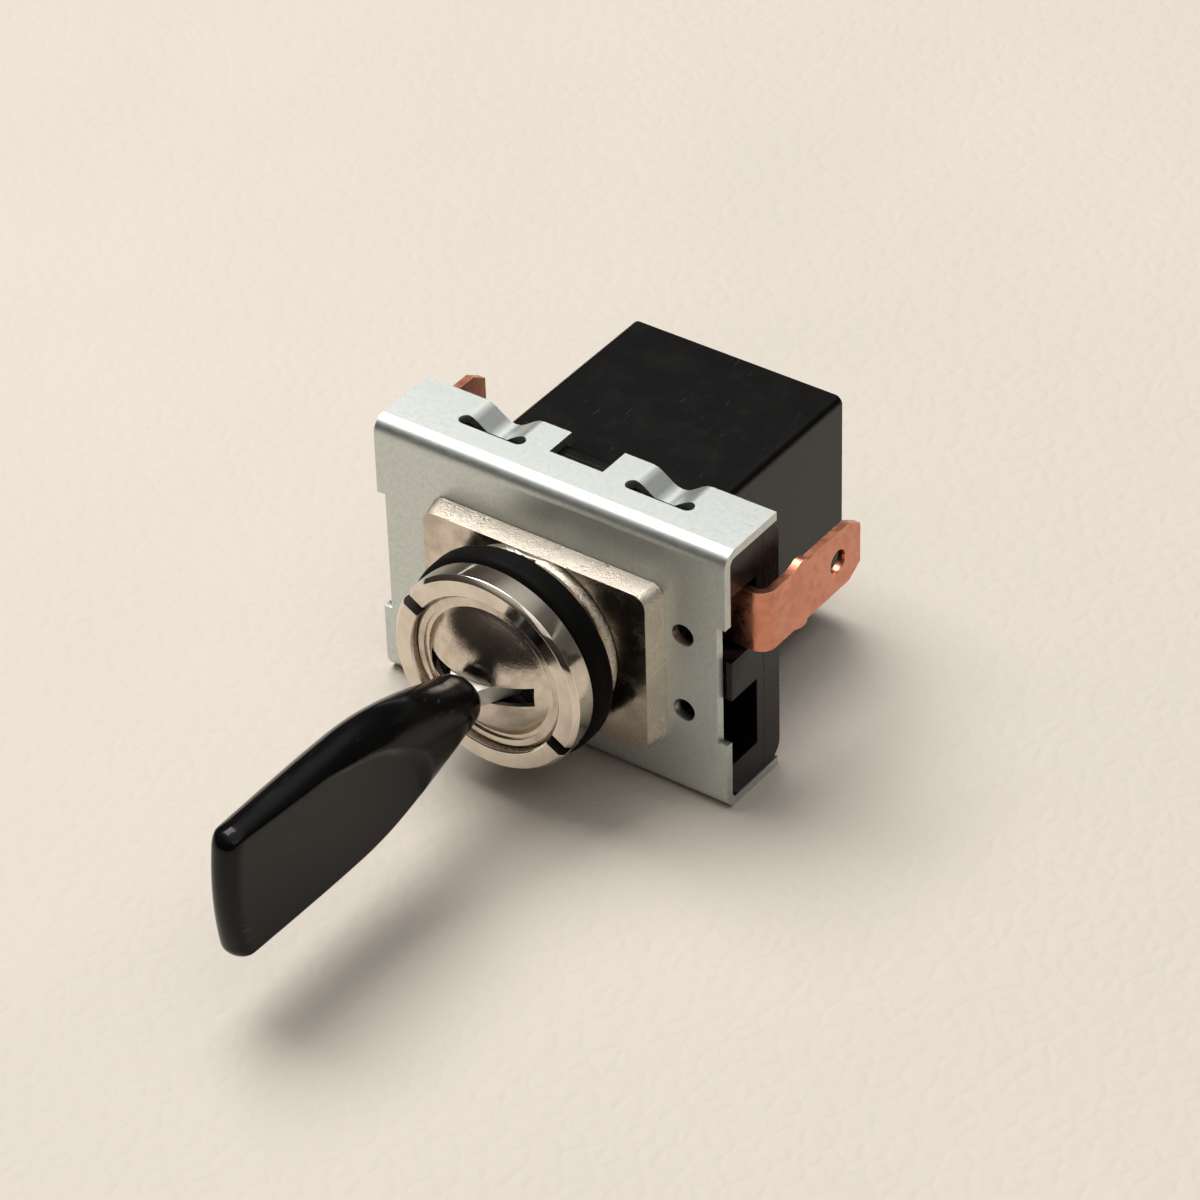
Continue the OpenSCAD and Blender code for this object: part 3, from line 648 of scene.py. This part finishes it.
@dataclass
class Neck(SubAssembly):
    """The cast plate with its neck, the washer, the ring nut, the dome and the pivot pin.

    Attributes:
        plate_edge_mm: Rounding of the plate's edges.
        nut_edge_mm: Rounding of the nut's edges.
        slot_mm: Depth past which a face looking forward is a spanner slot's floor.
        aside: Largest share of a slot wall's normal along the axis or the radius.
        facing: Smallest share of a slot floor's normal along the axis.
        sloping: Shares of the normal along the axis between which the cast skin is gritty.
        dome_edge_mm: Rounding of the dome's edges.
    """

    plate_edge_mm: float = 0.2
    nut_edge_mm: float = 0.08
    slot_mm: float = 0.9
    aside: float = 0.3
    facing: float = 0.9
    sloping: tuple[float, float] = (0.04, 0.96)
    dome_edge_mm: float = 0.06

    def build(self) -> None:
        """Makes the pieces."""
        self.cast_plate()
        self.ring_nut()
        self.soften("dome_cap", "slotted_dome", Finish.DOME_NICKEL, self.dome_edge_mm)
        self.dress("sealing_washer", Finish.RUBBER)
        self.dress("pivot_pin", Finish.PIN_STEEL)

    def ring_nut(self) -> bpy.types.Object:
        """Makes the ring nut, with painted shade darkening its spanner slots."""
        bm = cad_copy("ring_nut")
        round_edges(bm, self.nut_edge_mm)
        # painted shade: marks the spanner slots' walls and floors, which the finish darkens to stand in
        # for the shade inside them
        layer = bm.faces.layers.float.new(PAINTED_SLOT_SHADE)
        front = min(v.co.y for v in bm.verts)
        for face in bm.faces:
            middle = face.calc_center_median()
            outward = Vector((middle.x, 0.0, middle.z)).normalized()
            wall = max(abs(face.normal.y), abs(face.normal.dot(outward))) < self.aside
            floor = face.normal.y < -self.facing and middle.y > front + self.slot_mm * MM
            face[layer] = 1.0 if wall or floor else 0.0
        return self.stand_in("ring_nut_plated", bm, Finish.NICKEL, "ring_nut")

    def cast_plate(self) -> bpy.types.Object:
        """Makes the plate, with grit left on the sloping faces round the boss."""
        bm = cad_copy("neck_plate")
        round_edges(bm, self.plate_edge_mm, 3)
        layer = bm.faces.layers.float[WEAR]
        for face in bm.faces:
            if self.sloping[0] < abs(face.normal.y) < self.sloping[1]:
                face[layer] = 1.0
        return self.stand_in("cast_plate", bm, Finish.CAST_NICKEL, "neck_plate")


@dataclass
class Lever(SubAssembly):
    """The hub, its rivet, the steel blade and the moulded paddle.

    Attributes:
        rings: Cross-sections along the paddle.
        sides: Points round a cross-section.
        thumb_f: Place of the middle of the flat's round end, from the root.
        thumb_z: Height of that middle.
        thumb_r: Radius of the round end.
        thumb_rise: How fast the flat's middle line rises from there to the tip.
        thumb_slope: Steepness of the step up to the shoulder.
        tip_corner_mm: Radius of the tip's corners.
        tip_bow_mm: How far the tip bows out between its corners.
        tip_round_mm: Radius of the rounding round the tip's edge.
        tip_power: Exponent of that rounding.
        crowded_from: Share of the length past which the cross-sections stand closer.
        crease_mm: Radius of the crease round the flats.
        blade_edge_mm: Rounding of the blade's edges.
        half_widths: Half width of a cross-section at shares of the length.
        half_depths: Half thickness of the full oval form there, in mm.
        half_flats: Distance of the flats from the paddle's middle there, in mm.
    """

    rings: int = 150
    sides: int = 144
    thumb_f: float = 18.7
    thumb_z: float = -4.8
    thumb_r: float = 9.5
    thumb_rise: float = 0.27
    thumb_slope: float = 0.75
    tip_corner_mm: float = 1.6
    tip_bow_mm: float = 0.75
    tip_round_mm: float = 1.4
    tip_power: float = 2.4
    crowded_from: float = 0.9
    crease_mm: float = 0.12
    blade_edge_mm: float = 0.12
    half_widths: Table = ((0, .30), (.02, .37), (.08, .46), (.2, .70), (.31, .87), (.42, .97),
                          (.52, 1), (1, 1))
    half_depths: Table = ((0, 2.1), (.02, 2.5), (.08, 2.85), (.2, 3.1), (.31, 3.3), (.42, 3.55),
                          (.6, 3.7), (1, 3.5))
    half_flats: Table = ((0, 2.1), (.34, 2.1), (.64, 1.95), (1, 1.45))

    def build(self) -> None:
        """Makes the pieces."""
        self.paddle()
        self.soften("lever_blade", "flat_blade", Finish.BLADE_STEEL, self.blade_edge_mm)
        self.dress("lever_hub", Finish.HUB_ZINC)
        self.dress("blade_rivet", Finish.PIN_STEEL)

    @staticmethod
    def between(table: Sequence[tuple[float, float]], at: float) -> float:
        """Reads a smooth curve through a short table.

        Args:
            table: Places and values, in order of place.
            at: The place to read.

        Returns:
            The value there.
        """
        last = len(table) - 1
        i = max(k for k in range(last) if table[k][0] <= at)
        before, after = max(i - 1, 0), min(i + 2, last)

        def slope(a: int, b: int) -> float:
            """Mean slope from one entry to another."""
            return (table[b][1] - table[a][1]) / (table[b][0] - table[a][0])

        (x0, y0), (x1, y1) = table[i], table[i + 1]
        span, t = x1 - x0, (at - x0) / (x1 - x0)
        m0, m1 = slope(before, i + 1) * span, slope(i, after) * span
        return ((2 * t ** 3 - 3 * t * t + 1) * y0 + (t ** 3 - 2 * t * t + t) * m0
                + (3 * t * t - 2 * t ** 3) * y1 + (t ** 3 - t * t) * m1)

    def paddle(self) -> bpy.types.Object:
        """Models the paddle as one skin of cross-sections from its root to its tip."""
        low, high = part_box("paddle")
        root, tip = -high.y / MM, -low.y / MM
        half_w = (high.z - low.z) / 2 / MM
        length = tip - root

        def tip_at(z: float) -> float:
            """Length of the paddle at a height, along its bowed and round-cornered tip."""
            past = max(0.0, abs(z) - (half_w - self.tip_corner_mm))
            corner = self.tip_corner_mm - math.sqrt(max(0.0, self.tip_corner_mm ** 2 - past ** 2))
            return length - self.tip_bow_mm * (z / half_w) ** 2 - corner

        centre = Vector((self.thumb_f, self.thumb_z))
        axis = Vector((1.0, self.thumb_rise)).normalized()

        def step_at(f: float, z: float) -> float:
            """Height of the shoulder over the flat, by the distance from the flat's round end."""
            away = Vector((f, z)) - centre
            reach = (away - axis * max(0.0, away.dot(axis))).length
            return max(0.0, reach - self.thumb_r) * self.thumb_slope

        def place(co: Vector, along: float) -> Vector:
            """Moves one point of the unit circle to the cross-section at a share of the length."""
            turn = math.atan2(co.z, co.x)
            z = self.between(self.half_widths, along) * half_w * math.sin(turn)
            oval = self.between(self.half_depths, along) * abs(math.cos(turn))
            f = along * tip_at(z)
            flat = self.between(self.half_flats, along) + step_at(f, z)
            near = max(self.crease_mm - abs(oval - flat), 0.0)
            half = min(oval, flat) - near * near / self.crease_mm / 4
            end = (f - tip_at(z) + self.tip_round_mm) / self.tip_round_mm
            half *= math.sqrt(max(0.0, 1.0 - max(0.0, end) ** self.tip_power))
            return Vector((math.copysign(max(half, 0.0), co.x) * MM, -(root + f) * MM, z * MM))

        bm = bmesh.new()
        ring = bmesh.ops.create_circle(bm, segments=self.sides, radius=1.0, cap_ends=True)
        bmesh.ops.rotate(bm, verts=ring["verts"], matrix=Matrix.Rotation(math.pi / 2, 3, "X"))
        unit = [v.co.copy() for v in bm.verts]
        face = bm.faces[:][0]
        for step in range(self.rings + 1):
            share = step / self.rings
            if share < self.crowded_from:
                along = share
            else:
                rest = 1.0 - self.crowded_from
                turned = (share - self.crowded_from) / rest * math.pi / 2
                along = self.crowded_from + rest * math.sin(turned)
            if step:
                face = bmesh.ops.extrude_discrete_faces(bm, faces=[face])["faces"][0]
            for vert, co in zip(face.verts, unit):
                vert.co = place(co, along)
        bmesh.ops.delete(bm, geom=[face], context="FACES_ONLY")
        bmesh.ops.remove_doubles(bm, verts=bm.verts, dist=0.001 * MM)
        bmesh.ops.holes_fill(bm, edges=[e for e in bm.edges if e.is_boundary], sides=0)
        bmesh.ops.recalc_face_normals(bm, faces=bm.faces)
        return self.stand_in("moulded_paddle", bm, Finish.PADDLE, "paddle", 60.0)


@dataclass
class Detent(SubAssembly):
    """The plunger, its spring and the notched plate."""

    def build(self) -> None:
        """Dresses the pieces."""
        self.dress("detent_plunger", Finish.BRASS)
        self.dress("detent_spring", Finish.SPRING)
        self.dress("detent_plate", Finish.PIN_STEEL)


@dataclass
class Housing(SubAssembly):
    """The terminal base and the rear cover."""

    base_edge_mm: float = 0.12
    cover_edge_mm: float = 0.35
    strip_room_mm: float = 0.4

    def clear_of_strips(self, edge: bmesh.types.BMEdge) -> bool:
        """Says whether an edge lies away from both terminal strips."""
        middle = (edge.verts[0].co + edge.verts[1].co) / 2
        room = self.strip_room_mm * MM
        for node in ("right_terminal", "left_terminal"):
            low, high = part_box(node)
            if all(low[k] - room < middle[k] < high[k] + room for k in range(3)):
                return False
        return True

    def build(self) -> None:
        """Makes the pieces."""
        self.soften("terminal_base", "terminal_moulding", Finish.BAKELITE, self.base_edge_mm,
                    chosen=self.clear_of_strips)
        self.soften("rear_cover", "cover_moulding", Finish.BAKELITE, self.cover_edge_mm, 3,
                    chosen=self.clear_of_strips)


@dataclass
class Terminals(SubAssembly):
    """The two strips, their rivets and the fixed contacts."""

    edge_mm: float = 0.09

    def build(self) -> None:
        """Makes the pieces."""
        for side in ("right", "left"):
            self.soften(f"{side}_terminal", f"{side}_strip", Finish.COPPER, self.edge_mm)
        self.dress("terminal_rivets", Finish.BRASS)
        self.dress("fixed_contacts", Finish.SILVER)


@dataclass
class Carriage(SubAssembly):
    """The sliding carriage with its bridge, contacts and springs."""

    def build(self) -> None:
        """Dresses the pieces."""
        self.dress("contact_carriage", Finish.NYLON)
        self.dress("contact_bridge", Finish.COPPER)
        self.dress("moving_contacts", Finish.SILVER)
        self.dress("contact_springs", Finish.SPRING)


# ---------------------------------------------------------------- studio


@dataclass
class Studio:
    """The floor, the lights and the camera.

    Attributes:
        aim_mm: Point that the camera looks at.
        distance_mm: Distance of the camera from it.
        azimuth: Direction of the camera, round from the front.
        elevation: Height of the camera over the horizon, in degrees.
        roll: Turn of the camera about its own axis, in degrees.
        lens_mm: Focal length on a sensor 36 mm wide.
        floor_half: Half the floor's length, in metres.
        floor_dark: Colour of the floor's darker areas.
        floor_pale: Colour of its paler areas.
        room_strength: Brightness of the room.
        sky: The room's colours from the horizon to straight above.
        sides: Its share of them from the camera's side to the far side.
    """

    aim_mm: tuple[float, float, float] = (3.12, 3.40, 1.18)
    distance_mm: float = 457.4
    azimuth: float = 36.32
    elevation: float = 37.04
    roll: float = -1.78
    lens_mm: float = 153.35
    floor_half: float = 3.0
    floor_dark: Colour = (0.59, 0.55, 0.49)
    floor_pale: Colour = (0.66, 0.61, 0.54)
    room_strength: float = 0.9
    sky: Stops = ((0.0, (0.05, 0.045, 0.04)), (0.5, (0.10, 0.09, 0.08)), (0.68, (0.18, 0.17, 0.165)),
                  (0.82, (0.85, 0.84, 0.82)), (1.0, (1.2, 1.19, 1.17)))
    sides: Stops = ((0.0, (0.35, 0.32, 0.30)), (0.45, (0.9, 0.88, 0.86)), (1.0, (1.0, 1.0, 1.0)))

    def build(self) -> None:
        """Makes the studio."""
        bpy.context.scene.view_settings.view_transform = "Standard"
        self.camera()
        self.floor()
        self.lights()
        self.room()

    def camera(self) -> None:
        """Places the camera."""
        a, e = math.radians(self.azimuth), math.radians(self.elevation)
        back = Vector((math.sin(a) * math.cos(e), -math.cos(a) * math.cos(e), math.sin(e)))
        camera = bpy.data.objects.new("camera", bpy.data.cameras.new("camera"))
        bpy.context.scene.collection.objects.link(camera)
        camera.data.lens = self.lens_mm
        camera.data.sensor_width = 36.0
        camera.data.clip_start, camera.data.clip_end = 0.01, 20.0
        camera.location = (Vector(self.aim_mm) + back * self.distance_mm) * MM
        level = (-back).to_track_quat("-Z", "Y").to_matrix()
        turn = level @ Matrix.Rotation(math.radians(self.roll), 3, "Z")
        camera.rotation_euler = turn.to_euler()
        bpy.context.scene.camera = camera

    def floor(self) -> None:
        """Lays the pale floor under the bracket."""
        shader = Shader("pale_floor")
        wrinkles = shader.between(shader.cells(2.2, "DISTANCE_TO_EDGE"), 0.0, 0.3)
        swells = shader.grain(Grain(14.0, 3.0))
        fine = shader.grain(Grain(0.5, 3.0))
        normal = shader.relief(swells, 0.25)
        normal = shader.relief(wrinkles * 0.6 + fine * 0.4, 0.08, normal)
        colour = shader.mixed(shader.grain(Grain(60.0, 2.0)), self.floor_dark, self.floor_pale)
        material = shader.finish(base_color=colour, roughness=0.6, normal=normal, specular_ior_level=0.3)
        bm = bmesh.new()
        bmesh.ops.create_grid(bm, x_segments=8, y_segments=8, size=self.floor_half)
        bmesh.ops.translate(bm, verts=bm.verts, vec=(0.0, 0.0, CAD_BOX[0].z))
        mesh = bpy.data.meshes.new("floor")
        bm.to_mesh(mesh)
        bm.free()
        mesh.materials.append(material)
        floor = bpy.data.objects.new("floor", mesh)
        bpy.context.scene.collection.objects.link(floor)

    def lights(self) -> None:
        """Hangs the soft lamps."""
        self.lamp("key", (-0.50, 0.15, 1.15), 0.9, 18.0, (1.0, 0.97, 0.94))
        self.lamp("fill", (0.8, -0.6, 1.1), 0.9, 1.8, (1.0, 0.97, 0.94))

    @staticmethod
    def lamp(name: str, place: Place, size: float, power: float, colour: Colour) -> None:
        """Hangs one square soft lamp that faces the switch.

        Args:
            name: Name of the lamp.
            place: Where it hangs, in metres.
            size: Length of its side.
            power: Its power in watts.
            colour: Its colour.
        """
        data = bpy.data.lights.new(name, "AREA")
        data.shape, data.size, data.energy, data.color = "SQUARE", size, power, colour
        lamp = bpy.data.objects.new(name, data)
        lamp.location = place
        lamp.rotation_euler = (-Vector(place)).to_track_quat("-Z", "Y").to_euler()
        bpy.context.scene.collection.objects.link(lamp)

    def room(self) -> None:
        """Surrounds the floor with a room that is pale above and brown toward the camera."""
        world = bpy.data.worlds.new("room")
        bpy.context.scene.world = world
        graph = Graph(world)
        way = graph.add("ShaderNodeTexCoord").outputs["Generated"]
        split = graph.add("ShaderNodeSeparateXYZ", None, {0: way})
        above = graph.add("ShaderNodeValToRGB", {"stops": self.sky}, {0: split.outputs["Z"]})
        # the side the camera stands on is darker
        facing = Signal(graph, split.outputs["Y"]) * 0.5 + 0.5
        side = graph.add("ShaderNodeValToRGB", {"stops": self.sides}, {0: facing})
        settings = {"data_type": "RGBA", "blend_type": "MULTIPLY"}
        light = graph.add("ShaderNodeMix", settings, {0: 1.0, 6: above.outputs[0], 7: side.outputs[0]})
        glow = {"Color": light.outputs[2], "Strength": self.room_strength}
        lit = graph.add("ShaderNodeBackground", None, glow)
        graph.add("ShaderNodeOutputWorld", None, {"Surface": lit.outputs[0]})


def main() -> None:
    """Builds the switch and its studio."""
    logging.basicConfig(level=logging.INFO, format="%(name)s: %(message)s")
    Studio().build()
    shop = Workshop()
    for part in (Mounting, Neck, Lever, Detent, Housing, Terminals, Carriage):
        part(shop).build()
        log.info("%s is finished", part.__name__)


if __name__ == "__main__":
    main()
